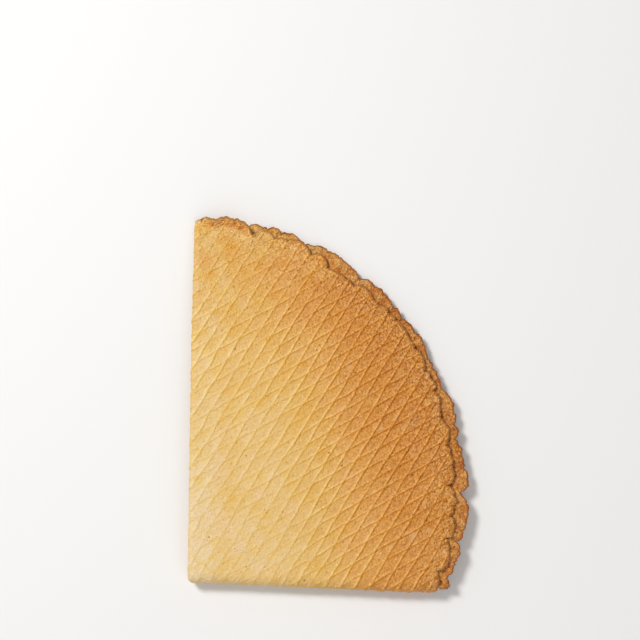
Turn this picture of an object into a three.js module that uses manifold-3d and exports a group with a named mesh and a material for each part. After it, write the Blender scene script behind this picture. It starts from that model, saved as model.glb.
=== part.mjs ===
// A folded wafer cookie: one thin round wafer, baked between two ridged plates and folded twice while
// it was hot. The first fold runs nearly through the middle of the disc and doubles the sheet. The
// second crosses it and tucks the lower part of the doubled sheet behind the rest.
//
// It lies on a table with its patterned outer face up. +Z is up, the long fold runs along Y on the -X
// side, and the short fold is on the -Y side. The origin is at the middle of the underside.
// Millimetres and degrees.

import * as THREE from "three";
import { mergeVertices } from "three/addons/utils/BufferGeometryUtils.js";
import Module from "manifold-3d";

// ---- Driving dimensions ----

// The flat wafer, as it leaves the iron. Its centre is the origin of the flat sheet.
const DISC_RADIUS = 125;
const SHEET_THICKNESS = 1.6;
const RIM_LOBES = 76; // crumbly scallops round the whole rim
const LOBE_SPREAD = 0.55; // how much wider or narrower a lobe may be, as a share
const LOBE_CROWN = [1.0, 3.6]; // how far a lobe stands out past the notches beside it
const NOTCH_DEPTH = [0.4, 2.8]; // how far a notch reaches in from the disc's radius
const LOBE_ROUNDNESS = 0.45; // 0.5 is a half circle
const LOBE_POINTS = [0, 0.28, 0.72]; // where the outline has its points, as shares of a lobe's width
const RIM_SEED = 1302934;

// The ridges of the outer face: two families that cross at a sharp angle.
const RIDGE_HEIGHT = 0.45;
const RIDGE_PITCH = 5.81; // from ridge to ridge, square across them
const STEEP_RIDGES = 60.9; // direction of each family, from +X
const SHALLOW_RIDGES = 28.9;
const FIRST_CROSSING = new THREE.Vector2(-2.19, -1.14);
const CREST_SHORTFALL = [0.04, 0.16]; // how far below full height the ridges stay at a crossing
const STANDING_CROSSINGS = [[6, -9], [21, -18]]; // these reach it, and the tucked part stands on them
const INNER_WAVES = 0.12; // the inner face is nearly smooth

// The folds. Each radius is to the middle of the sheet.
const LONG_FOLD_X = 2.85; // where the long fold runs on the flat sheet
const LONG_FOLD_RADIUS = 1.4;
const SHORT_FOLD_Y = -39.7; // where the short fold starts to turn, beside the long fold
const SHORT_FOLD_TILT = -2.1; // it drops a little towards +X
const SHORT_FOLD_RADIUS = 1.6; // of the inner layer; the outer layer goes round the outside of it
const SHORT_FOLD_STRETCH = 0.93; // length of sheet in the turn, as a share of the outer layer's arc
const LONG_FOLD_STEPS = 4; // facets round each half turn
const SHORT_FOLD_STEPS = 5;

// How it lies: past the tucked part, the doubled sheet droops until its far rim touches the table.
const DROOP_START = 6; // past the rim of the tucked part
const DROOP_POWER = 1.5;
const WARP_HEIGHT = 0.35; // slow waves of the whole sheet
const WARP_LENGTH = 46;

// The rim of the upper layer curls up a little beside the long fold.
const CURL_HEIGHT = 2.4;
const CURL_WIDTH = 12; // in from the rim, and along from the fold
const CURL_MIDDLE = 76; // degrees round the disc from +X
const CURL_SPAN = 36;

// The ridges are pressed flat where the tucked part lies on the table.
const REST_PATCH = new THREE.Vector2(44.75, -78.08); // on the flat sheet
const REST_RADIUS = 11.2;

const WAFER_GOLD = 0xdba75c;

// ---- Sizes worked out from them ----

const radians = THREE.MathUtils.degToRad;
const clamp = THREE.MathUtils.clamp;
const halfSheet = SHEET_THICKNESS / 2;
const crest = halfSheet + RIDGE_HEIGHT; // from the middle of the sheet to the top of a ridge
const crossingAngle = radians(STEEP_RIDGES - SHALLOW_RIDGES);
const crossingStep = RIDGE_PITCH / Math.sin(crossingAngle); // from crossing to crossing on one ridge
const longArc = Math.PI * LONG_FOLD_RADIUS;
const longFoldAxis = LONG_FOLD_X + longArc / 2;
const outerRadius = SHORT_FOLD_RADIUS + 2 * LONG_FOLD_RADIUS; // the outer layer round the short fold
const shortAxisHeight = outerRadius + crest; // the outer layer's lowest ridges lie on the table
const shortArc = Math.PI * outerRadius * SHORT_FOLD_STRETCH;
const shortFoldCorner = new THREE.Vector2(longFoldAxis, SHORT_FOLD_Y);
const alongShortFold = onAngle(SHORT_FOLD_TILT, 1);
const acrossShortFold = onAngle(SHORT_FOLD_TILT + 90, 1); // towards the open part
// The tucked part ends in the disc's own rim, turned over: a circle round this point.
const tuckedCentre = shortFoldCorner.clone()
  .addScaledVector(alongShortFold, -shortFoldCorner.dot(alongShortFold))
  .addScaledVector(acrossShortFold, shortFoldCorner.dot(acrossShortFold) - shortArc);
const droopStart = DISC_RADIUS + DROOP_START;
const droopReach = tuckedCentre.distanceTo(new THREE.Vector2(0, DISC_RADIUS)) - droopStart;

function onAngle(degrees, length) {
  return new THREE.Vector2(Math.cos(radians(degrees)), Math.sin(radians(degrees))).multiplyScalar(length);
}

// A number from 0 to 1 that is always the same for the same count.
function chance(count) {
  const value = Math.sin((count + 1) * 12.9898 + RIM_SEED * 78.233) * 43758.5453;
  return value - Math.floor(value);
}

function between([low, high], share) {
  return low + (high - low) * share;
}

// ---- The flat sheet ----

// A slab with the ridge lattice on its outer face: every mesh of the lattice is a shallow pit with
// ridges as its four edges. The smooth inner face takes one crossing in two. The slab is larger than
// the disc, which is cut from it.
function ridgedSlab() {
  const reach = 2 * Math.ceil(DISC_RADIUS / RIDGE_PITCH / 2 + 1);
  const last = 2 * reach;
  const points = [];
  const faces = [];
  const addPoint = (i, j, height) => {
    const place = FIRST_CROSSING.clone()
      .addScaledVector(onAngle(SHALLOW_RIDGES, crossingStep), i - reach)
      .addScaledVector(onAngle(STEEP_RIDGES, crossingStep), j - reach);
    const pressed = height > 0 && place.distanceTo(REST_PATCH) < REST_RADIUS;
    return points.push([place.x, place.y, pressed ? crest : height]) - 1;
  };
  const addGrid = (step, heightAt) => {
    const rows = [];
    for (let i = 0; i <= last; i += step) {
      rows.push([]);
      for (let j = 0; j <= last; j += step) rows.at(-1).push(addPoint(i, j, heightAt(i, j)));
    }
    return rows;
  };
  const mesh = (rows, i, j) => [rows[i][j], rows[i + 1][j], rows[i + 1][j + 1], rows[i][j + 1]];
  const crestAt = (i, j) => {
    const stands = STANDING_CROSSINGS.some(([a, b]) => a === i - reach && b === j - reach);
    return stands ? crest : crest - between(CREST_SHORTFALL, chance(3 * RIM_LOBES + i * last + j));
  };
  const outer = addGrid(1, crestAt);
  const inner = addGrid(2, (i, j) => -halfSheet + INNER_WAVES * Math.sin(2.1 * i) * Math.cos(1.7 * j));
  for (let i = 0; i < last; i++)
    for (let j = 0; j < last; j++) {
      const pit = addPoint(i + 0.5, j + 0.5, halfSheet);
      const ring = mesh(outer, i, j);
      ring.forEach((corner, k) => faces.push([corner, ring[(k + 1) % 4], pit]));
    }
  for (let i = 0; i < reach; i++)
    for (let j = 0; j < reach; j++) {
      const [a, b, c, d] = mesh(inner, i, j);
      faces.push([a, d, c], [a, c, b]);
    }
  const top = edgeLoop(outer);
  edgeLoop(inner).forEach((a, k, bottom) => {
    const b = bottom[(k + 1) % bottom.length];
    const [c, d, e] = [0, 1, 2].map((n) => top[(2 * k + n) % top.length]);
    faces.push([a, b, d], [a, d, c], [b, e, d]);
  });
  return new THREE.BufferGeometry()
    .setAttribute("position", new THREE.Float32BufferAttribute(points.flat(), 3))
    .setIndex(faces.flat());
}

// The points round the edge of a square grid, anticlockwise.
function edgeLoop(rows) {
  const last = rows.length - 1;
  const steps = Array.from({ length: last }, (_, k) => k);
  return [
    ...steps.map((k) => rows[k][0]),
    ...steps.map((k) => rows[last][k]),
    ...steps.map((k) => rows[last - k][last]),
    ...steps.map((k) => rows[0][last - k]),
  ];
}

// The round outline with its crumbly lobes, each an arch between two notches.
function lobedOutline() {
  const widths = Array.from({ length: RIM_LOBES }, (_, k) => 1 + LOBE_SPREAD * (2 * chance(k) - 1));
  const wholeTurn = widths.reduce((sum, width) => sum + width, 0);
  const notch = (k) => -between(NOTCH_DEPTH, chance(RIM_LOBES + (k % RIM_LOBES)));
  const outline = [];
  let start = 0;
  widths.forEach((width, k) => {
    const crown = between(LOBE_CROWN, chance(2 * RIM_LOBES + k));
    for (const share of LOBE_POINTS) {
      const arch = Math.pow(4 * share * (1 - share), LOBE_ROUNDNESS);
      const radius = DISC_RADIUS + between([notch(k), notch(k + 1)], share) + crown * arch;
      outline.push(onAngle((360 * (start + share * width)) / wholeTurn, radius));
    }
    start += width;
  });
  return new THREE.Shape(outline);
}

// Cuts the disc from the slab and gives it back as points and faces.
async function cutDisc() {
  const wasm = await Module();
  wasm.setup();
  const solid = (geometry) => {
    geometry.deleteAttribute("normal");
    geometry.deleteAttribute("uv");
    const merged = mergeVertices(geometry);
    return new wasm.Manifold(new wasm.Mesh({
      numProp: 3,
      vertProperties: merged.attributes.position.array,
      triVerts: new Uint32Array(merged.index.array),
    }));
  };
  const cutterDepth = 4 * SHEET_THICKNESS;
  const cutter = new THREE.ExtrudeGeometry(lobedOutline(), { depth: cutterDepth, bevelEnabled: false });
  cutter.translate(0, 0, -cutterDepth / 2);
  const disc = solid(ridgedSlab()).intersect(solid(cutter)).getMesh();
  const points = [];
  for (let k = 0; k < disc.vertProperties.length; k += disc.numProp)
    points.push(new THREE.Vector3(...disc.vertProperties.slice(k, k + 3)));
  const faces = [];
  for (let k = 0; k < disc.triVerts.length; k += 3) faces.push([...disc.triVerts.slice(k, k + 3)]);
  return { points, faces };
}

// ---- Folding ----

// Splits every face that crosses the plane normal . p = offset, so that the sheet can turn there.
function score(sheet, normal, offset) {
  const nearZero = 1e-5;
  const side = sheet.points.map((p) => {
    const distance = p.dot(normal) - offset;
    return Math.abs(distance) < nearZero ? 0 : distance;
  });
  const cuts = new Map();
  const cutPoint = (a, b) => {
    const key = Math.min(a, b) + ":" + Math.max(a, b);
    if (!cuts.has(key)) {
      cuts.set(key, sheet.points.length);
      sheet.points.push(sheet.points[a].clone().lerp(sheet.points[b], side[a] / (side[a] - side[b])));
    }
    return cuts.get(key);
  };
  sheet.faces = sheet.faces.flatMap((face) => {
    const crosses = face.some((k) => side[k] > 0) && face.some((k) => side[k] < 0);
    if (!crosses) return [face];
    return [1, -1].map((sign) =>
      face.flatMap((a, k) => {
        const b = face[(k + 1) % face.length];
        const kept = side[a] * sign >= 0 ? [a] : [];
        return side[a] * side[b] < 0 ? [...kept, cutPoint(a, b)] : kept;
      }));
  });
}

// Turns the -X part of the sheet under the +X part.
function foldInHalf(p) {
  const past = longFoldAxis - p.x;
  const turn = clamp(past / LONG_FOLD_RADIUS, 0, Math.PI);
  const straight = Math.max(-past, past - longArc, 0);
  const radius = LONG_FOLD_RADIUS + p.z;
  p.set(longFoldAxis + straight - radius * Math.sin(turn), p.y, radius * Math.cos(turn));
}

// Turns the -Y part of the doubled sheet under the rest, and stands the lot on the table.
function tuckUnder(p) {
  const fromCorner = new THREE.Vector2(p.x, p.y).sub(shortFoldCorner);
  const along = fromCorner.dot(alongShortFold);
  const past = -fromCorner.dot(acrossShortFold);
  const turn = clamp((past * Math.PI) / shortArc, 0, Math.PI);
  const straight = Math.max(-past, past - shortArc, 0);
  const radius = p.z + LONG_FOLD_RADIUS + SHORT_FOLD_RADIUS;
  const place = shortFoldCorner.clone()
    .addScaledVector(alongShortFold, along)
    .addScaledVector(acrossShortFold, straight - radius * Math.sin(turn));
  p.set(place.x, place.y, shortAxisHeight + radius * Math.cos(turn));
}

// Lets the open part droop, with a slow warp, until the first point of its far rim touches the table.
function droop(points) {
  const shares = points.map((p) => {
    const fromTucked = tuckedCentre.distanceTo(new THREE.Vector2(p.x, p.y));
    return Math.max(fromTucked - droopStart, 0) / droopReach;
  });
  points.forEach((p, k) => {
    const wave = Math.sin(p.x / WARP_LENGTH + 1) * Math.cos(p.y / WARP_LENGTH);
    p.z += WARP_HEIGHT * wave * Math.min(shares[k] * 4, 1);
  });
  const drop = shares.map((share) => share ** DROOP_POWER);
  const toTouch = points.map((p, k) => (drop[k] > 0 ? p.z / drop[k] : Infinity));
  const height = toTouch.reduce((least, value) => Math.min(least, value));
  points.forEach((p, k) => (p.z -= height * drop[k]));
}

// How far the upper layer's rim curls up at a point of the flat sheet.
function curl(p) {
  const inward = DISC_RADIUS - Math.hypot(p.x, p.y);
  const round = THREE.MathUtils.radToDeg(Math.atan2(p.y, p.x)) - CURL_MIDDLE;
  const overWidth = clamp(1 - inward / CURL_WIDTH, 0, 1) ** 2;
  const overSpan = Math.max(1 - (round / (CURL_SPAN / 2)) ** 2, 0);
  const fromFold = clamp((p.x - longFoldAxis) / CURL_WIDTH, 0, 1);
  return CURL_HEIGHT * overWidth * overSpan * fromFold;
}

function scoreArc(sheet, normal, start, length, steps) {
  for (let k = 0; k <= steps; k++) score(sheet, normal, start - (k * length) / steps);
}

async function foldedWafer() {
  const sheet = await cutDisc();
  scoreArc(sheet, new THREE.Vector3(1, 0, 0), longFoldAxis, longArc, LONG_FOLD_STEPS);
  const curls = new Map(sheet.points.map((p) => [p, curl(p)]));
  sheet.points.forEach(foldInHalf);
  const across = new THREE.Vector3(acrossShortFold.x, acrossShortFold.y, 0);
  scoreArc(sheet, across, shortFoldCorner.dot(acrossShortFold), shortArc, SHORT_FOLD_STEPS);
  sheet.points.forEach(tuckUnder);
  droop(sheet.points);
  for (const p of sheet.points) p.z += curls.get(p) ?? 0;
  const fan = (face) => face.slice(2).flatMap((last, k) => [face[0], face[k + 1], last]);
  const geometry = new THREE.BufferGeometry().setFromPoints(sheet.points);
  geometry.setIndex(sheet.faces.flatMap(fan));
  geometry.computeVertexNormals();
  geometry.computeBoundingBox();
  const middle = geometry.boundingBox.getCenter(new THREE.Vector3());
  return geometry.translate(-middle.x, -middle.y, 0);
}

// ---- The cookie ----

const wafer = new THREE.Mesh(
  await foldedWafer(),
  new THREE.MeshStandardMaterial({ color: WAFER_GOLD, roughness: 0.8, metalness: 0 }),
);
wafer.name = "wafer";

const cookie = new THREE.Group();
cookie.add(wafer);

export default cookie;
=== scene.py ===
import math

import bmesh
import bpy
import numpy as np
from mathutils import Matrix, Vector
from mathutils.geometry import delaunay_2d_cdt


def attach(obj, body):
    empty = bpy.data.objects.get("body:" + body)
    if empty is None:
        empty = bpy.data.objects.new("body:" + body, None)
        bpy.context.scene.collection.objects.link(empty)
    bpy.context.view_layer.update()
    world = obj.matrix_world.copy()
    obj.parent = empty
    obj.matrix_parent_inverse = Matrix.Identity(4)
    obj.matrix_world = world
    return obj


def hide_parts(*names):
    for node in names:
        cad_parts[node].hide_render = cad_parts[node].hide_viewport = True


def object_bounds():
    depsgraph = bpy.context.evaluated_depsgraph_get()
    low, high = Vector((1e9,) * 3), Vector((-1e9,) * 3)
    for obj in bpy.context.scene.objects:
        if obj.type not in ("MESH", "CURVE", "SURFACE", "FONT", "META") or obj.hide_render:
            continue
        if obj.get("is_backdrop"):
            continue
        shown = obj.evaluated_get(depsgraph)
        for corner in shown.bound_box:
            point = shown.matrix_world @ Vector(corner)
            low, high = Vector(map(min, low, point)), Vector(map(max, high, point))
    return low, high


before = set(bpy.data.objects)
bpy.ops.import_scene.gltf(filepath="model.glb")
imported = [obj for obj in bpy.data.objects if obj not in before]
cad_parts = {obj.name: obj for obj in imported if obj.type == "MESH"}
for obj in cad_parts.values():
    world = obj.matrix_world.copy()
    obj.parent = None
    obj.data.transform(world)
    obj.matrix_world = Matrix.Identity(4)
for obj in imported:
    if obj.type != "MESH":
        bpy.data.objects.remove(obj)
cad_low, cad_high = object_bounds()
scene = bpy.context.scene

# ---- Table, lamps and camera ----
# A plain pale table. A small strong lamp at the far left draws every ridge with a bright and a dark
# side. A broad lamp at the near right and a low one at the near side fill its shadows, and pale walls
# stand all round. The camera looks down on the wafer, a little from the near side, and sees it as large
# and as far off the middle as the photograph.

photo_width = 640  # pixels
pixel = 0.0004664  # metres on the wafer to one pixel
looked_at = Vector((-0.0041, 0.0375, 0.010))
camera_elevation = math.radians(83)
camera_roll = math.radians(0.33)

camera_data = bpy.data.cameras.new("camera")
camera_data.lens = 85
camera_data.sensor_width = 36
camera = bpy.data.objects.new("camera", camera_data)
towards_camera = Vector((0, -math.cos(camera_elevation), math.sin(camera_elevation)))
camera_distance = photo_width * pixel * camera_data.lens / camera_data.sensor_width
aim = (-towards_camera).to_track_quat("-Z", "Y").to_matrix()
camera.rotation_mode = "QUATERNION"
camera.rotation_quaternion = (Matrix.Rotation(camera_roll, 3, "Z") @ aim).to_quaternion()
camera.location = looked_at + towards_camera * camera_distance
scene.collection.objects.link(camera)
scene.camera = camera


def add_lamp(name, azimuth, elevation, distance, width, watts):
    """A square lamp over the wafer, azimuth counted from +X towards +Y, in degrees."""
    lamp_data = bpy.data.lights.new(name, "AREA")
    lamp_data.size = width
    lamp_data.energy = watts
    lamp = bpy.data.objects.new(name, lamp_data)
    level = math.cos(math.radians(elevation))
    upwards = math.sin(math.radians(elevation))
    angle = math.radians(azimuth)
    direction = Vector((level * math.cos(angle), level * math.sin(angle), upwards))
    lamp.location = looked_at + direction * distance
    lamp.rotation_mode = "QUATERNION"
    lamp.rotation_quaternion = direction.to_track_quat("Z", "Y")
    scene.collection.objects.link(lamp)


add_lamp("key lamp", azimuth=143, elevation=52, distance=1.4, width=0.35, watts=15.0)
add_lamp("fill lamp", azimuth=-60, elevation=55, distance=1.6, width=1.2, watts=4)
add_lamp("near lamp", azimuth=-80, elevation=16, distance=1.3, width=1.0, watts=2.6)

world = bpy.data.worlds.new("pale walls")
world.use_nodes = True
walls = world.node_tree.nodes["Background"].inputs
walls["Color"].default_value = (1.0, 0.99, 0.975, 1)
walls["Strength"].default_value = 0.40
scene.world = world
scene.view_settings.view_transform = "Standard"

table_half_width = 4.0
corner_signs = [(-1, -1), (1, -1), (1, 1), (-1, 1)]
table_corners = [(table_half_width * x, table_half_width * y, 0) for x, y in corner_signs]
table_mesh = bpy.data.meshes.new("table")
table_mesh.from_pydata(table_corners, [], [(0, 1, 2, 3)])
table = bpy.data.objects.new("table", table_mesh)
table_finish = bpy.data.materials.new("matt white table")
table_finish.use_nodes = True
table_look = table_finish.node_tree.nodes["Principled BSDF"].inputs
table_look["Base Color"].default_value = (0.8, 0.79, 0.78, 1)
table_look["Roughness"].default_value = 0.8
table_mesh.materials.append(table_finish)
scene.collection.objects.link(table)
table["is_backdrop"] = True

# ---- The wafer's blank ----
# The wafer leaves the iron as one flat round sheet, 250 mm across and 1.6 mm thick. One face carries the
# ridges of the iron, in two families, and the blank's mesh runs along them. The batter spreads freely
# between the plates, so the rim ends in crumbly lobes with notches between them. At the place of the
# later lip there is a deeper notch, and the rim beyond it bulges outwards. Metres and radians.

disc_radius = 0.125
ridge_pitch = 0.00581  # from ridge to ridge, square across them
steep = math.radians(59.0)  # the two families' directions, from +X
shallow = math.radians(29.3)
first_crossing = np.array((-0.00219, -0.00114))

# Mesh lines along the ridges, in shares of a pitch. Where the ridged face stays on top after folding,
# they are closest, most of all beside the crests. The rest of it and the plain inner face have fewer.
shown_lines = (0, 0.052, 0.104, 0.18, 0.28, 0.39, 0.5, 0.61, 0.72, 0.82, 0.896, 0.948)
under_lines = (0, 0.1, 0.25, 0.5, 0.75, 0.9)
inner_lines = (0, 0.33, 0.67)
shown_from = np.array((-0.004, -0.047))
gap_between_patches = 0.0007
fine_seam, coarse_seam = 0.00035, 0.0006  # from the mesh lines' ends to the rim
in_millimetres = 1000  # the seam is triangulated in millimetres

lobes = 76
lobe_seed = 1302934
lobe_spread = 0.55  # how much wider or narrower than the mean a lobe may be
lobe_crown = (0.0010, 0.0036)  # how far a lobe stands out, least and most
notch_depth = (0.0004, 0.0028)  # and how far a notch goes in
lobe_roundness = 0.45  # under 0.5 the lobes are blunter than arcs
steps_in_lobe = 22
lip_notch = math.radians(75.2)
lip_notch_depth = 0.0026
lip_notch_width = math.radians(1.0)
lip_bulge_at = np.radians((70, 75, 77.5, 80, 83, 88))
lip_bulge_out = (0, 0.0012, 0.0034, 0.0034, 0.0014, 0)  # in those directions

# Finer waves and crumbs: how many go round the rim, and how far each stands out or in.
rim_crumbs = ((150, 0.00085), (330, 0.00065), (840, 0.00040), (62, 0.00090))
# The rim's section: how far in from the rim, and the height, from -1 at the inner face to 1 at the outer.
rim_profile = ((0.0011, 1), (0.0005, 0.88), (0.00015, 0.55), (0, 0.05), (0.00012, -0.5), (0.0004, -0.88))
# More rings of the inner face, by their distance in from the rim.
inner_rings = (0.0009, 0.0014, 0.0019, 0.0025, 0.0031, 0.0038, 0.0046, 0.0056, 0.0068, 0.0082)


def chance(count):
    """A number from 0 to 1, always the same one for a count."""
    value = math.sin((count + 1) * 12.9898 + lobe_seed * 78.233) * 43758.5453
    return value - math.floor(value)


def between(limits, share):
    return limits[0] + (limits[1] - limits[0]) * share


lobe_widths = np.array([1 + lobe_spread * (2 * chance(k) - 1) for k in range(lobes)])
lobe_starts = np.concatenate([[0], np.cumsum(lobe_widths)]) * 2 * math.pi / lobe_widths.sum()
notches = np.array([-between(notch_depth, chance(lobes + k % lobes)) for k in range(lobes + 1)])
crowns = np.array([between(lobe_crown, chance(2 * lobes + k)) for k in range(lobes)])
crowns = crowns * np.minimum(1, lobe_widths)  # narrow lobes stand out less
random_crumbs = np.random.default_rng(11)
crumb_tables = [(random_crumbs.uniform(-size, size, count), count) for count, size in rim_crumbs]


def rim_radius(angles):
    """The distance from the disc's middle to its crumbly rim, in each of these directions."""
    angles = np.mod(angles, 2 * math.pi)
    lobe = np.clip(np.searchsorted(lobe_starts, angles, side="right") - 1, 0, lobes - 1)
    share = (angles - lobe_starts[lobe]) / (lobe_starts[lobe + 1] - lobe_starts[lobe])
    arch = np.clip(4 * share * (1 - share), 0, 1) ** lobe_roundness
    radius = disc_radius + notches[lobe] * (1 - share) + notches[lobe + 1] * share + crowns[lobe] * arch
    radius -= lip_notch_depth * np.exp(-((angles - lip_notch) / lip_notch_width) ** 2)
    radius += np.interp(angles, lip_bulge_at, lip_bulge_out)
    for sizes, count in crumb_tables:
        crumbs_passed = angles * count / (2 * math.pi)
        radius += np.interp(crumbs_passed, np.arange(count + 1), np.append(sizes, sizes[0]))
    return radius


def lattice(lines):
    """Mesh lines along both ridge families: how many pitches out each lies, one pitch's steps, and
    where they cross.
    """
    reach = math.ceil(disc_radius / ridge_pitch) + 1
    counts = np.array([whole + part for whole in range(-reach, reach) for part in lines] + [reach])
    step = ridge_pitch / math.sin(steep - shallow)
    along_shallow = step * np.array((math.cos(shallow), math.sin(shallow)))
    along_steep = step * np.array((math.cos(steep), math.sin(steep)))
    points = first_crossing + counts[:, None, None] * along_shallow + counts[None, :, None] * along_steep
    return counts, np.array((along_shallow, along_steep)), points


def ring_reach(ring, places):
    """How far out a ring of points round the middle reaches in the directions of these places."""
    angle = np.mod(np.arctan2(ring[:, 1], ring[:, 0]), 2 * math.pi)
    start = int(np.argmin(angle))
    ring, angle = np.roll(ring, -start, 0), np.roll(angle, -start)
    wanted = np.mod(np.arctan2(places[..., 1], places[..., 0]), 2 * math.pi)
    k = np.searchsorted(angle, wanted, side="right") - 1
    a, side = ring[k], ring[(k + 1) % len(ring)] - ring[k]
    cosine, sine = np.cos(wanted), np.sin(wanted)
    turned = cosine * side[..., 1] - sine * side[..., 0]
    return (a[..., 0] * side[..., 1] - a[..., 1] * side[..., 0]) / turned


def turned_up(points, corners, numbers):
    """Triangles, each turned anticlockwise, with their corners' final numbers."""
    a, b, c = (points[corners[:, k]] for k in range(3))
    area = (b[:, 0] - a[:, 0]) * (c[:, 1] - a[:, 1]) - (b[:, 1] - a[:, 1]) * (c[:, 0] - a[:, 0])
    corners = np.where((area > 0)[:, None], corners, corners[:, ::-1])
    return numbers[corners[np.abs(area) > 1e-12]]


def fill_to_ring(patches, ring):
    """A flat face inside a ring of points: patches of lattices, and a triangulated seam round them all.

    Each patch has its mesh lines, its distance from the ring and a test of which places belong to it.
    """
    points, quads, edge_sides, kept_at = [], [], [], []
    for lines, margin, belongs in patches:
        counts, steps, crossings = lattice(lines)

        def mesh_of(places, counts=counts, steps=steps):
            shares = np.linalg.solve(steps.T, (places - first_crossing).T).T
            cell = np.clip(np.searchsorted(counts, shares) - 1, 0, len(counts) - 2)
            return cell[:, 0], cell[:, 1]

        inside = np.hypot(crossings[..., 0], crossings[..., 1]) < ring_reach(ring, crossings) - margin
        inside &= belongs(crossings)
        kept = inside[:-1, :-1] & inside[1:, :-1] & inside[1:, 1:] & inside[:-1, 1:]
        # No mesh is kept that the ring, or the ring drawn in by the margin, passes through.
        for part in np.linspace(0, 1, 21):
            on_ring = ring * (1 - part) + np.roll(ring, -1, 0) * part
            for scale in (1, 1 - margin / disc_radius):
                kept[mesh_of(on_ring * scale)] = False
        used = np.zeros(inside.shape, bool)
        for a, b in ((0, 0), (1, 0), (1, 1), (0, 1)):
            used[a:a + kept.shape[0], b:b + kept.shape[1]] |= kept
        number = np.full(inside.shape, -1)
        number[used] = np.arange(used.sum()) + sum(len(p) for p in points)
        points.append(crossings[used])
        cells = np.stack([number[:-1, :-1], number[1:, :-1], number[1:, 1:], number[:-1, 1:]], -1)[kept]
        quads.append(cells)
        sides = np.concatenate([cells[:, [k, (k + 1) % 4]] for k in range(4)])
        seen = {tuple(side) for side in sides.tolist()}
        edge_sides += [(a, b) for a, b in seen if (b, a) not in seen]
        kept_at.append(lambda places, kept=kept, mesh_of=mesh_of: kept[mesh_of(places)])

    points = np.concatenate(points)
    edge_points = sorted({a for side in edge_sides for a in side})
    place = {a: k for k, a in enumerate(edge_points)}
    first_ring = len(edge_points)
    seam = [Vector(points[a] * in_millimetres) for a in edge_points]
    seam += [Vector(p * in_millimetres) for p in ring]
    sides = [(place[a], place[b]) for a, b in edge_sides]
    sides += [(first_ring + k, first_ring + (k + 1) % len(ring)) for k in range(len(ring))]
    result = delaunay_2d_cdt(seam, sides, [], 0, 1e-6)
    assert len(result[0]) == len(seam)
    corners = np.array([[result[3][a][0] for a in face] for face in result[2]])
    flat_seam = np.array([tuple(p) for p in seam]) / in_millimetres
    middle = flat_seam[corners].mean(1)
    spare = np.hypot(middle[:, 0], middle[:, 1]) > ring_reach(ring, middle)
    for is_kept in kept_at:
        spare |= is_kept(middle)
    numbers = np.concatenate([edge_points, len(points) + np.arange(len(ring))])
    return points, np.concatenate(quads), turned_up(flat_seam, corners[~spare], numbers)


share = np.arange(steps_in_lobe) / steps_in_lobe
share = 0.5 * share + 0.25 * (1 - np.cos(math.pi * share))  # closer together beside the notches
ring_angles = (lobe_starts[:-1, None] + np.diff(lobe_starts)[:, None] * share).ravel()
rim = rim_radius(ring_angles)
mean_rim = rim.mean()
rings = []
for inward, height in rim_profile:
    rings.append((rim - inward, height))
for inward in inner_rings:
    evened = inward / inner_rings[-1]
    rings.append(((rim + (mean_rim - rim) * evened ** 2) - inward, -1))
ring_points = [np.stack([r * np.cos(ring_angles), r * np.sin(ring_angles)], 1) for r, _ in rings]

points, faces, heights = [], [], []


def add_face(patches, ring, ring_numbers, height):
    """Adds a face of the blank inside a ring whose points are there already."""
    patch, quads, seam = fill_to_ring(patches, ring)
    start = sum(len(p) for p in points)
    points.append(patch)
    heights.append(np.full(len(patch), float(height)))
    numbers = np.concatenate([start + np.arange(len(patch)), ring_numbers])
    way = 1 if height > 0 else -1
    faces.extend(numbers[quads][:, ::way].tolist())
    faces.extend(numbers[seam][:, ::way].tolist())


in_ring = len(ring_angles)
for k, (_, height) in enumerate(rings):
    points.append(ring_points[k])
    heights.append(np.full(in_ring, float(height)))
for k in range(len(rings) - 1):
    here = k * in_ring + np.arange(in_ring)
    there = k * in_ring + np.roll(np.arange(in_ring), -1)
    faces.extend(np.stack([here, here + in_ring, there + in_ring, there], 1).tolist())
outer_patches = [
    (shown_lines, fine_seam, lambda places: (places > shown_from).all(-1)),
    (under_lines, coarse_seam, lambda places: (places < shown_from - gap_between_patches).any(-1)),
]
add_face(outer_patches, ring_points[0], np.arange(in_ring), 1)
inner_patches = [(inner_lines, coarse_seam, lambda places: places[..., 0] < disc_radius)]
add_face(inner_patches, ring_points[-1], (len(rings) - 1) * in_ring + np.arange(in_ring), -1)

flat_points = np.concatenate(points)
face_heights = np.concatenate(heights)
to_rim = rim_radius(np.arctan2(flat_points[:, 1], flat_points[:, 0])) - np.hypot(*flat_points.T)
blank_mesh = bpy.data.meshes.new("blank")
blank_mesh.from_pydata(np.column_stack([flat_points, face_heights * 1e-4]).tolist(), [], faces)
for name, values in (("face", face_heights), ("to rim", to_rim)):
    attribute = blank_mesh.attributes.new(name, "FLOAT", "POINT")
    attribute.data.foreach_set("value", values.astype(np.float32))

# ---- The folded wafer ----
# The hot, still soft sheet is folded in half, nearly through its middle, and the lower part of the
# doubled sheet is then tucked behind the rest. It sets crisp as it cools. It lies on its tucked part,
# and the open part droops until its far rim touches the table.

long_fold_x = 0.00285  # on the flat sheet
long_fold_radius = 0.0014  # to the middle of the sheet
long_arc = math.pi * long_fold_radius
fold_axis = long_fold_x + long_arc / 2
long_fold_cuts = 6

mesh = bmesh.new()
mesh.from_mesh(blank_mesh)
for k in range(long_fold_cuts + 1):
    bmesh.ops.bisect_plane(mesh, geom=mesh.verts[:] + mesh.edges[:] + mesh.faces[:], dist=1e-6,
                           plane_co=(fold_axis - k * long_arc / long_fold_cuts, 0, 0), plane_no=(1, 0, 0))
mesh.to_mesh(blank_mesh)
mesh.free()


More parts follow.
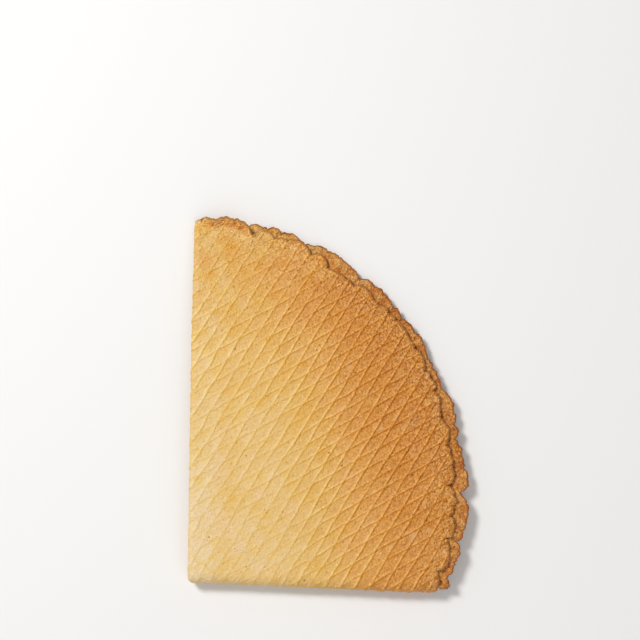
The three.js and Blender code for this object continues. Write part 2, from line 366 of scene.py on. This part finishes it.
class Wire:
    """A node's output socket. Arithmetic on it adds Math nodes to the same tree."""

    def __init__(self, tree, socket):
        self.tree, self.socket = tree, socket

    @classmethod
    def node(cls, tree, kind, settings={}, values={}, output=0):
        made = tree.nodes.new(kind)
        for name, value in settings.items():
            if name == "stops":
                cls.set_stops(made.color_ramp, value)
            else:
                setattr(made, name, value)
        for name, value in values.items():
            if isinstance(value, Wire):
                tree.links.new(value.socket, made.inputs[name])
            else:
                made.inputs[name].default_value = value
        return cls(tree, made.outputs[output])

    @staticmethod
    def set_stops(ramp, stops):
        while len(ramp.elements) < len(stops):
            ramp.elements.new(0.5)
        for element, (position, colour) in zip(ramp.elements, stops):
            element.position, element.color = position, colour

    def math(self, operation, *others):
        values = dict(enumerate((self, *others)))
        return Wire.node(self.tree, "ShaderNodeMath", {"operation": operation}, values)

    def __add__(self, other):
        return self.math("ADD", other)

    __radd__ = __add__

    def __sub__(self, other):
        return self.math("SUBTRACT", other)

    def __rsub__(self, other):
        return Wire.node(self.tree, "ShaderNodeMath", {"operation": "SUBTRACT"}, {0: other, 1: self})

    def __mul__(self, other):
        return self.math("MULTIPLY", other)

    __rmul__ = __mul__

    def __truediv__(self, other):
        return self.math("DIVIDE", other)

    def __pow__(self, other):
        return self.math("POWER", other)

    def __neg__(self):
        return self * -1

    def at_least(self, other):
        return self.math("MAXIMUM", other)

    def at_most(self, other):
        return self.math("MINIMUM", other)

    def parts(self):
        split = Wire.node(self.tree, "ShaderNodeSeparateXYZ", values={0: self}).socket.node
        return [Wire(self.tree, socket) for socket in split.outputs]

    def eased(self, low, high, start=0.0, end=1.0):
        """From start, where this wire is at low, to end, where it is at high, with soft ends."""
        return Wire.node(self.tree, "ShaderNodeMapRange", {"interpolation_type": "SMOOTHSTEP"},
                         {0: self, 1: low, 2: high, 3: start, 4: end})

    def noise(self, size, seed, detail=2.0, roughness=0.5):
        """Noise over this place, with lumps of about this size, from about -1 to 1."""
        plain = Wire.node(self.tree, "ShaderNodeTexNoise", {"noise_dimensions": "4D"},
                          {"Vector": self, "W": seed, "Scale": 1 / size, "Detail": detail,
                           "Roughness": roughness})
        return (plain - 0.5) * 3.2


def vector(tree, x, y, z):
    return Wire.node(tree, "ShaderNodeCombineXYZ", values={0: x, 1: y, 2: z})


fold_sizes = {
    "Sheet thickness": 0.0016,
    "Ridge height": 0.00052,
    "Ridge pitch": ridge_pitch,
    "Steep ridges": steep,
    "Shallow ridges": shallow,
    "First crossing X": first_crossing[0],
    "First crossing Y": first_crossing[1],
    "Long fold axis": fold_axis,
    "Long fold radius": long_fold_radius,
    "Short fold Y": -0.0397,
    "Short fold tilt": math.radians(-2.1),
    "Short fold radius": 0.0016,
    "Short fold stretch": 0.93,
    "Droop start": disc_radius + 0.006,
    "Warp height": 0.00035,
    "Warp length": 0.046,
    "Layers closer at the rim": 0.00085,
    "Curl height": 0.0024,
    "Curl width": 0.012,
    "Curl middle": math.radians(76),
    "Curl span": math.radians(36),
    "Lip notch": lip_notch,
    "Lip width": 0.0048,
    "Lip radius": 0.0056,
    "Lift of the upper layer": 0.0002,
    "Seed": 3.0,
}

tree = bpy.data.node_groups.new("fold a ridged sheet", "GeometryNodeTree")
tree.interface.new_socket("Blank", in_out="INPUT", socket_type="NodeSocketGeometry")
sockets = {
    name: tree.interface.new_socket(name, in_out="INPUT", socket_type="NodeSocketFloat")
    for name in fold_sizes
}
finish_socket = tree.interface.new_socket("Finish", in_out="INPUT", socket_type="NodeSocketMaterial")
tree.interface.new_socket("Wafer", in_out="OUTPUT", socket_type="NodeSocketGeometry")
entry = tree.nodes.new("NodeGroupInput")
blank = Wire(tree, entry.outputs["Blank"])
size = {name: Wire(tree, entry.outputs[name]) for name in fold_sizes}
seed = size["Seed"]

place = Wire.node(tree, "GeometryNodeInputPosition")
flat_x, flat_y, _ = place.parts()
face = Wire.node(tree, "GeometryNodeInputNamedAttribute", {"data_type": "FLOAT"}, {"Name": "face"})
from_rim = Wire.node(tree, "GeometryNodeInputNamedAttribute", {"data_type": "FLOAT"}, {"Name": "to rim"})
flat = vector(tree, flat_x, flat_y, face * 0.01)
outer_face, inner_face = face.at_least(0), (-face).at_least(0)
from_middle = (flat_x * flat_x + flat_y * flat_y).math("SQRT")

# The iron browned and pressed the sides of the disc most. Its middle, and the corner between the long
# fold and the far rim, stayed pale, and their ridges are low, uneven and wrinkled.
pale_y = -0.035
to_end = ((flat_y - pale_y) * 2.7).at_least((pale_y - flat_y) * 5.0)
browned = flat_x.math("ABSOLUTE").eased(0.027, 0.122) * 0.9 + to_end
browned = browned + flat_x.eased(0.012, 0.045) * flat_y.eased(0.035, 0.085) * 0.16
round_angle = flat_y.math("ARCTAN2", flat_x)
at_lip = (round_angle - size["Lip notch"]).eased(0, math.radians(2.5))
at_lip = at_lip * (flat_x - long_fold_x).eased(0.003, 0.008)
# The hollow behind the curled lip gets painted shade: it counts as browner, and the finish tints it golden.
lip_shade = at_lip * from_rim.eased(0.0008, 0.0020) * (1 - from_rim.eased(0.0035, 0.0052))
browned = (browned + 0.35 * lip_shade).at_most(1)
near_rim = 1 - from_rim.eased(0.002, 0.020)
wrinkled = (1 - browned) * flat_y.eased(0.055, 0.115)

# The ridges aren't quite straight. They wander most where the sheet stayed pale.
wander = 0.0006 + 0.0007 * (1 - browned)
kinks = 0.0002 + 0.0004 * (1 - browned)
off_rim = from_rim.eased(0.0, 0.006)
shift_x = (flat.noise(0.024, seed) * wander + flat.noise(0.007, seed + 9) * kinks) * off_rim
shift_y = (flat.noise(0.024, seed + 5) * wander + flat.noise(0.007, seed + 13) * kinks) * off_rim


def past_ridge(direction):
    """Signed distance past the nearest ridge of a family, square across it, towards its shaded side."""
    across = (flat_x - size["First crossing X"]) * direction.math("SINE")
    across = across - (flat_y - size["First crossing Y"]) * direction.math("COSINE")
    counted = across / size["Ridge pitch"]
    return (counted - (counted + 0.5).math("FLOOR")) * size["Ridge pitch"]


def ridge_line(past, width_before, width_past):
    return (1 - (-past).eased(0, width_before)).at_most(1 - past.eased(0, width_past))


def shaded_side(past):
    return past.eased(-0.0001, 0.0003) * (1 - past.eased(0.0005, 0.0012))


past_steep, past_shallow = past_ridge(size["Steep ridges"]), past_ridge(size["Shallow ridges"])
steep_there = flat.noise(0.012, seed + 21).eased(-0.9, 0.4, 0.62, 1.15) * (1 - 0.25 * near_rim)
shallow_there = flat.noise(0.010, seed + 27).eased(-0.7, 0.5, 0.55, 1.18) * (1 - 0.25 * near_rim)
steep_strength = (0.34 + 1.12 * browned) * steep_there * (1 - 0.5 * wrinkled)
shallow_strength = (0.26 + 1.16 * browned) * shallow_there * (1 - 0.5 * wrinkled)
past_width = 0.0008
steep_width = 0.0009 + 0.0016 * (1 - browned) ** 2
shallow_width = 0.0008 + 0.0008 * (1 - browned) ** 2
steep_line = ridge_line(past_steep, steep_width, past_width) * steep_strength
shallow_line = ridge_line(past_shallow, shallow_width, past_width) * shallow_strength
ridge = steep_line.at_least(shallow_line)
shaded = (shaded_side(past_steep) * steep_strength).at_least(shaded_side(past_shallow) * shallow_strength)
half_pitch = size["Ridge pitch"] / 2
pillow = past_steep.math("ABSOLUTE").eased(0, half_pitch)
pillow = pillow * past_shallow.math("ABSOLUTE").eased(0, half_pitch)
# Painted shade and highlight for the finish: above 0 on the ridges' shaded sides, below 0 on their lit
# sides.
ridge_side_shading = (past_steep * math.pi / half_pitch).math("SINE") * steep_strength
ridge_side_shading = ridge_side_shading + (past_shallow * math.pi / half_pitch).math("SINE") * shallow_strength

# Fine relief: wrinkles where the sheet stayed pale, some drawn out along the steep ridges, grit of the
# batter, coarser towards the rim, and a crumbling edge round the inner face.
pillow_height = 0.00012
small_wrinkle, large_wrinkle, long_wrinkle = 0.00016, 0.00035, 0.00022
small_crumb, large_crumb = 0.00006, 0.00026
lump_height = 0.00075
wrinkles = flat.noise(0.0055, seed + 33, 3.0) * small_wrinkle * (1 - browned)
wrinkles = wrinkles + flat.noise(0.010, seed + 37, 2.0) * large_wrinkle * wrinkled
across = flat_x * size["Steep ridges"].math("SINE") - flat_y * size["Steep ridges"].math("COSINE")
along = flat_x * size["Steep ridges"].math("COSINE") + flat_y * size["Steep ridges"].math("SINE")
drawn_out = vector(tree, across, along * 0.3, face)
wrinkles = wrinkles + drawn_out.noise(0.0042, seed + 39, 2.0) * long_wrinkle * wrinkled
grit = Wire.node(tree, "ShaderNodeTexVoronoi", values={"Vector": flat, "Scale": 1 / 0.0022})
crumbs = flat.noise(0.0024, seed + 31, 3.0, 0.6) * small_crumb + (0.45 - grit) * large_crumb
crumbs = crumbs * (0.35 + 0.7 * browned + 1.8 * near_rim ** 2)
on_top = (flat_x - shown_from[0]).eased(-0.005, 0.0) * (flat_y - shown_from[1]).eased(-0.005, 0.0)
pressed = 1 - 0.45 * (1 - on_top)  # the ridges underneath were pressed flatter while the sheet was soft
outer_relief = ridge * size["Ridge height"] * pressed + pillow * pillow_height + wrinkles + crumbs
crumbling = 1 - from_rim.eased(0.005, 0.013)
lumps = flat.noise(0.0036, seed + 41, 1.0).eased(-0.6, 0.6, -0.8, 0.6)
lumps = lumps + flat.noise(0.0014, seed + 47, 2.0) * 0.45
smoother_above = 1 - 0.8 * (flat_x - fold_axis).eased(0, 0.004)
inner_relief = (lumps - 0.3) * lump_height * crumbling * smoother_above
room_inside = 0.0001 + 0.0004 * (1 - from_rim.eased(0.001, 0.004))  # so that the layers stay apart
inner_relief = inner_relief.at_least(-0.0006).at_most(room_inside)

# The sheet gets thinner in its last 7 mm, but not at the lip.
last_stretch = 1 - from_rim.eased(0.0, 0.007)
thickness = size["Sheet thickness"] * (1 + (0.42 * at_lip - 0.38) * last_stretch)
level = face * thickness / 2 + outer_face * outer_relief - inner_face * inner_relief

# Between the long fold and the notch, the rim of the upper layer is bent up into a narrow lip.
past = (size["Lip width"] - from_rim).at_least(0)
turn = past / size["Lip radius"] * at_lip
outwards = -level * turn.math("SINE") - past * turn * turn / 6
level = level * turn.math("COSINE") + past * turn / 2 * (1 - turn * turn / 12)
x = flat_x + shift_x + outwards * flat_x / from_middle.at_least(0.001)
y = flat_y + shift_y + outwards * flat_y / from_middle.at_least(0.001)
z = level

# Folded in half: the -X part turns under the +X part. Towards the rim the two layers lie closer.
radius = size["Long fold radius"]
past = size["Long fold axis"] - x
turn = (past / radius).at_least(0).at_most(math.pi)
straight = (-past).at_least(past - radius * math.pi).at_least(0)
upper_layer = 1 - turn.eased(0, math.pi)
beside_fold = ((x - size["Long fold axis"]) / size["Curl width"]).at_least(0).at_most(1)
x = size["Long fold axis"] + straight - (radius + z) * turn.math("SINE")
z = (radius + z) * turn.math("COSINE")
closer = size["Layers closer at the rim"] * (1 + 0.75 * last_stretch)
z = z + straight.eased(0.004, 0.040) * (1 - upper_layer) * closer

# Tucked under: the -Y part of the doubled sheet turns behind the rest.
axis_height = 2 * radius + size["Short fold radius"] + size["Sheet thickness"] / 2 + size["Ridge height"]
arc = (2 * radius + size["Short fold radius"]) * size["Short fold stretch"] * math.pi
tilt_cosine, tilt_sine = size["Short fold tilt"].math("COSINE"), size["Short fold tilt"].math("SINE")
corner_x, corner_y = size["Long fold axis"], size["Short fold Y"]
along = (x - corner_x) * tilt_cosine + (y - corner_y) * tilt_sine
past = (x - corner_x) * tilt_sine - (y - corner_y) * tilt_cosine
turn = (past * math.pi / arc).at_least(0).at_most(math.pi)
straight = (-past).at_least(past - arc).at_least(0)
reach = z + radius + size["Short fold radius"]
across = straight - reach * turn.math("SINE")
x = corner_x + along * tilt_cosine - across * tilt_sine
y = corner_y + along * tilt_sine + across * tilt_cosine
z = axis_height + reach * turn.math("COSINE")
open_part = 1 - turn.eased(0, 1)

# The open part droops past the tucked part's rim, whose circle has its middle at tucked_x, tucked_y.
corner_along = corner_x * tilt_cosine + corner_y * tilt_sine
corner_across = corner_y * tilt_cosine - corner_x * tilt_sine
middle_across = corner_across - arc
tucked_x = corner_x - corner_along * tilt_cosine - middle_across * tilt_sine
tucked_y = corner_y - corner_along * tilt_sine + middle_across * tilt_cosine
past = ((x - tucked_x) ** 2 + (y - tucked_y) ** 2).math("SQRT") - size["Droop start"]
far_x, far_y = tucked_x, disc_radius - tucked_y
full = (far_x * far_x + far_y * far_y).math("SQRT") - size["Droop start"]
open_share = (past / full).at_least(0)
drop = open_share ** 1.5
wave = (x / size["Warp length"] + 1).math("SINE") * (y / size["Warp length"]).math("COSINE")
z = z + size["Warp height"] * wave * (open_share * 4).at_most(1)
to_touch = Wire.node(tree, "GeometryNodeAttributeStatistic", {"data_type": "FLOAT", "domain": "POINT"},
                     {"Geometry": blank, "Attribute": z / drop.at_least(0.001),
                      "Selection": open_share.math("GREATER_THAN", 0.3)}, output="Min")
z = z - to_touch * drop

# The upper layer lifts a little from the lower one, and its rim curls up beside the long fold.
lift = vector(tree, x, y, 0).noise(0.05, seed + 51, 1.0).eased(-0.7, 0.9) * size["Lift of the upper layer"]
z = z + lift * upper_layer * open_part * beside_fold * open_share.eased(-0.3, 0.5)
over_span = (1 - ((round_angle - size["Curl middle"]) * 2 / size["Curl span"]) ** 2).at_least(0)
over_width = (1 - from_rim / size["Curl width"]).at_least(0).at_most(1) ** 2
z = z + size["Curl height"] * over_width * over_span * beside_fold


def stored(geometry, name, kind, value):
    """The same geometry, with a value for the finish to read."""
    return Wire.node(tree, "GeometryNodeStoreNamedAttribute", {"data_type": kind, "domain": "POINT"},
                     {"Geometry": geometry, "Name": name, "Value": value})


result = stored(blank, "flat", "FLOAT_VECTOR", vector(tree, flat_x, flat_y, face))
result = stored(result, "ridge", "FLOAT", ridge * outer_face)
result = stored(result, "beside ridge", "FLOAT", ridge_side_shading * outer_face)
result = stored(result, "shaded", "FLOAT", shaded * outer_face)
result = stored(result, "browned", "FLOAT", browned)
result = stored(result, "lip hollow", "FLOAT", lip_shade * outer_face)
result = stored(result, "height", "FLOAT", (crumbs + wrinkles) * outer_face + inner_relief * inner_face)
folded = vector(tree, x, y, z)
result = Wire.node(tree, "GeometryNodeSetPosition", values={"Geometry": result, "Position": folded})
result = Wire.node(tree, "GeometryNodeSetShadeSmooth", values={"Geometry": result})
result = Wire.node(tree, "GeometryNodeRealizeInstances", values={0: result})
finish = Wire(tree, entry.outputs["Finish"])
result = Wire.node(tree, "GeometryNodeSetMaterial", values={"Geometry": result, "Material": finish})
tree.links.new(result.socket, tree.nodes.new("NodeGroupOutput").inputs[0])

# ---- The wafer's finish ----
# Baked batter: pale gold in the middle of the disc and toasted brown towards the rim, blotchy and matt.
# Painted highlights make the crests pale and painted shade makes their shaded sides a deep gold; painted
# shade and highlights also lie on the wrinkles, the rim's wall, the inner face's pits and lumps, under the
# upper layer and in the hollow behind the lip. Steam left pinholes, and pale flecks, floury patches and
# crumbs break up the brown. Most layers multiply the colour below by a tint.


def srgb(red, green, blue):
    """A colour as seen, 0 to 255, as the light that it sends back."""
    return (*(((c / 255 + 0.055) / 1.055) ** 2.4 for c in (red, green, blue)), 1)


baked = bpy.data.materials.new("baked wafer")
baked.use_nodes = True
paint = baked.node_tree
surface = paint.nodes["Principled BSDF"].inputs


def carried(name, output="Fac"):
    """What the folded mesh carries under this name."""
    return Wire.node(paint, "ShaderNodeAttribute", {"attribute_name": name}, output=output)


def blended(factor, first, second, kind="MIX"):
    return Wire.node(paint, "ShaderNodeMix", {"data_type": "RGBA", "blend_type": kind},
                     {0: factor, 6: first, 7: second}, output=2)


def tinted(below, factor, tint):
    return blended(factor, below, tint, "MULTIPLY")


flat_x, flat_y, face = carried("flat", "Vector").parts()
ridge, ridge_side_shading, shaded = carried("ridge"), carried("beside ridge"), carried("shaded")
height, from_rim, lip_shade = carried("height"), carried("to rim"), carried("lip hollow")
browned = carried("browned")
sheet = vector(paint, flat_x, flat_y, face * 0.02)
near_rim = 1 - from_rim.eased(0.001, 0.014)
wrinkled = (1 - browned) * flat_y.eased(0.055, 0.115)
outer, inner = face.at_least(0), (-face).at_least(0)

# How far it is toasted, from pale gold to brown.
toast = browned + sheet.noise(0.030, 2.0) * 0.07 + sheet.noise(0.009, 4.0, 3.0) * (0.09 + 0.26 * wrinkled)
toast = toast - near_rim * 0.12 + wrinkled * 0.11
colour = Wire.node(paint, "ShaderNodeValToRGB", {"stops": (
    (0.00, srgb(221, 187, 125)),
    (0.17, srgb(218, 179, 107)),
    (0.30, srgb(216, 173, 97)),
    (0.45, srgb(214, 165, 85)),
    (0.62, srgb(213, 156, 78)),
    (0.80, srgb(208, 143, 62)),
    (1.00, srgb(206, 136, 55)),
)}, {"Fac": toast})

# Paler along the long fold.
fold_pale_tint = (1.02, 1.10, 1.34, 1)
along_fold = 1 - (flat_x - fold_axis).math("ABSOLUTE").eased(0.003, 0.016)
colour = tinted(colour, along_fold * outer, fold_pale_tint)

# Random golden and pale blotches, with painted shade, saturated gold, on the ridges' shaded sides and in
# the wrinkles' hollows, and painted highlight, paler, on their lit sides, on lumps and on the crests.
golden_and_shade_tint, pale_and_highlight_tint = (0.99, 0.90, 0.50, 1), (1.03, 1.05, 1.40, 1)
ridge_shade_tint, crest_highlight_tint = (0.96, 0.80, 0.42, 1), (1.17, 1.34, 1.48, 1)
wrinkle_shading = 1600  # for each metre of a wrinkle's height
mottle_and_shading = sheet.noise(0.0034, 6.0, 3.0, 0.6) * 0.7 + sheet.noise(0.009, 7.0, 2.0) * (0.7 + 1.2 * wrinkled)
mottle_and_shading = mottle_and_shading - ridge_side_shading * 0.35 * (1 - 0.6 * browned) + height * wrinkle_shading * wrinkled
colour = tinted(colour, (-mottle_and_shading).at_least(0).at_most(1), golden_and_shade_tint)
pale_and_lit_here = mottle_and_shading.at_least(0).at_most(1) * (1 - 0.25 * browned - 0.45 * wrinkled)
colour = tinted(colour, pale_and_lit_here, pale_and_highlight_tint)
colour = tinted(colour, shaded * 0.66, ridge_shade_tint)
crest_highlight = ridge.eased(0.2, 0.9) * (1 - shaded).at_least(0)
colour = tinted(colour, crest_highlight, crest_highlight_tint)

# Painted shade and highlight on the rim: its wall gets a warm painted shade, orange, towards the inner face
# and a painted highlight, paler, towards the outer one. The inner face gets painted shade where the upper
# layer covers it and in the pits of its crumbling edge, and a painted highlight on its lumps.
wall_shade_tint, wall_highlight_tint = (1.34, 0.68, 0.24, 1), (1.38, 1.14, 0.90, 1)
inner_tint, covered_shade_tint = (1.05, 1.05, 1.08, 1), (0.94, 0.66, 0.40, 1)
outer_rim_tint = (1.11, 1.11, 1.22, 1)
pit_shade_tint, lump_highlight_tint = (0.80, 0.58, 0.42, 1), (1.08, 1.12, 1.40, 1)
wall = 1 - face.math("ABSOLUTE").eased(0.80, 1.0)
wall_shade_and_highlight = blended(face.eased(-0.9, 0.7), wall_shade_tint, wall_highlight_tint)
colour = tinted(colour, wall, wall_shade_and_highlight)
colour = tinted(colour, inner, inner_tint)
colour = tinted(colour, inner * from_rim.eased(0.0040, 0.0095), covered_shade_tint)
colour = tinted(colour, near_rim * outer, outer_rim_tint)
colour = tinted(colour, (-height).eased(0.0001, 0.0008) * inner, pit_shade_tint)
colour = tinted(colour, height.eased(-0.0001, 0.0004) * inner, lump_highlight_tint)

# Dark and pale grains of batter, strongest where it is brown.
dark_grain_tint, pale_grain_tint = (0.72, 0.55, 0.29, 1), (1.14, 1.31, 1.80, 1)
grain_size = 0.00085
grain_cells = {"Vector": sheet, "Scale": 1 / grain_size}
grains = Wire.node(paint, "ShaderNodeTexVoronoi", values=grain_cells, output="Color").parts()[0]
speckle = (grains - 0.5) + sheet.noise(0.0009, 8.0, 2.0, 0.7) * 0.6
speckled = blended(speckle.eased(-0.6, 0.6), dark_grain_tint, pale_grain_tint)
speckled_here = 0.15 + 0.62 * browned ** 2 + 0.2 * near_rim + 0.15 * wrinkled
colour = tinted(colour, speckled_here.at_most(1), speckled)

# Golden and pale crumbs near the rim, a golden painted shade in the hollow behind the lip, a little more
# yellow where the sheet is wrinkled, and floury patches on the brown.
crumb_tint, lip_shade_tint, wrinkled_tint = (1.04, 0.86, 0.58, 1), (0.99, 0.86, 0.62, 1), (0.99, 0.97, 0.84, 1)
crumby = near_rim * (0.4 + 0.6 * browned) * (1 - lip_shade)
crumb_patches = sheet.noise(0.0030, 17.0, 2.0, 0.6)
colour = tinted(colour, (-crumb_patches).eased(0.1, 0.8) * crumby * 0.7, crumb_tint)
colour = blended(crumb_patches.eased(0.2, 0.8) * crumby * 0.45, colour, srgb(226, 176, 128))
colour = tinted(colour, lip_shade, lip_shade_tint)
colour = tinted(colour, wrinkled * 0.6, wrinkled_tint)
floury = sheet.noise(0.006, 12.0, 3.0).eased(0.25, 0.8) * browned
colour = blended(floury * 0.30, colour, srgb(233, 200, 150))


def pinholes(spacing, radius, share, shift):
    """1 at the pinholes of this radius, in a share of meshes of about this spacing."""
    cells = {"Vector": vector(paint, flat_x + shift, flat_y, face), "Scale": 1 / spacing}
    near = Wire.node(paint, "ShaderNodeTexVoronoi", values=cells)
    pick = Wire.node(paint, "ShaderNodeTexVoronoi", values=cells, output="Color").parts()[0]
    reach = (radius / spacing) * pick.eased(1 - share, 1, 0.4, 1.1)
    return (1 - (near / reach).eased(0.5, 1.1)) * pick.math("GREATER_THAN", 1 - share)


# Small brown pores, pale flecks and larger dark pinholes.
pore_tint = (0.60, 0.36, 0.18, 1)
hole = pinholes(spacing=0.0055, radius=0.00055, share=0.40, shift=0.3)
pore = pinholes(spacing=0.0026, radius=0.00044, share=0.65, shift=0.7)
fleck = pinholes(spacing=0.0034, radius=0.00046, share=0.50, shift=0.5)
colour = tinted(colour, pore * (0.50 + 0.35 * browned), pore_tint)
colour = blended(fleck * 0.45, colour, srgb(246, 222, 178))
colour = blended(hole * 0.8, colour, srgb(132, 78, 30))
paint.links.new(colour.socket, surface["Base Color"])
roughness = 0.60 + 0.08 * speckle
paint.links.new(roughness.socket, surface["Roughness"])

# The batter's grain, too fine for the mesh.
grit_size, grain_height = 0.0011, 0.00024
grit = Wire.node(paint, "ShaderNodeTexVoronoi", values={"Vector": sheet, "Scale": 1 / grit_size})
grain = sheet.noise(0.0010, 16.0, 3.0, 0.65) * 0.6 + (0.45 - grit) * 2.4 - hole * 1.2 - pore * 0.7
grain = grain * (0.43 + 0.60 * browned ** 2 + 0.6 * near_rim + 0.25 * wrinkled)
relief = {"Strength": 1.0, "Distance": grain_height, "Height": grain}
bump = Wire.node(paint, "ShaderNodeBump", values=relief)
paint.links.new(bump.socket, surface["Normal"])
surface["Specular IOR Level"].default_value = 0.4

# ---- Fold it ----
# The blank goes through the fold, becomes a plain mesh and is laid down, with its lowest point on the
# table and the middle of its footprint where the solid has it.

wafer = bpy.data.objects.new("wafer_sheet", blank_mesh)
scene.collection.objects.link(wafer)
folding = wafer.modifiers.new("fold", "NODES")
folding.node_group = tree
for name, value in fold_sizes.items():
    folding[sockets[name].identifier] = float(value)
folding[finish_socket.identifier] = baked
bpy.context.view_layer.update()
seen = wafer.evaluated_get(bpy.context.evaluated_depsgraph_get())
folded_mesh = bpy.data.meshes.new_from_object(seen)
wafer.modifiers.remove(folding)
wafer.data = folded_mesh
places = np.zeros(len(folded_mesh.vertices) * 3, np.float32)
folded_mesh.vertices.foreach_get("co", places)
places = places.reshape(-1, 3)
low, high = places.min(0), places.max(0)
shift = (np.array(cad_low) + np.array(cad_high) - low - high) / 2
shift[2] = -low[2]
folded_mesh.transform(Matrix.Translation(Vector(shift)))
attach(wafer, "root")
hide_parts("wafer")

# ---- Size ----

low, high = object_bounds()
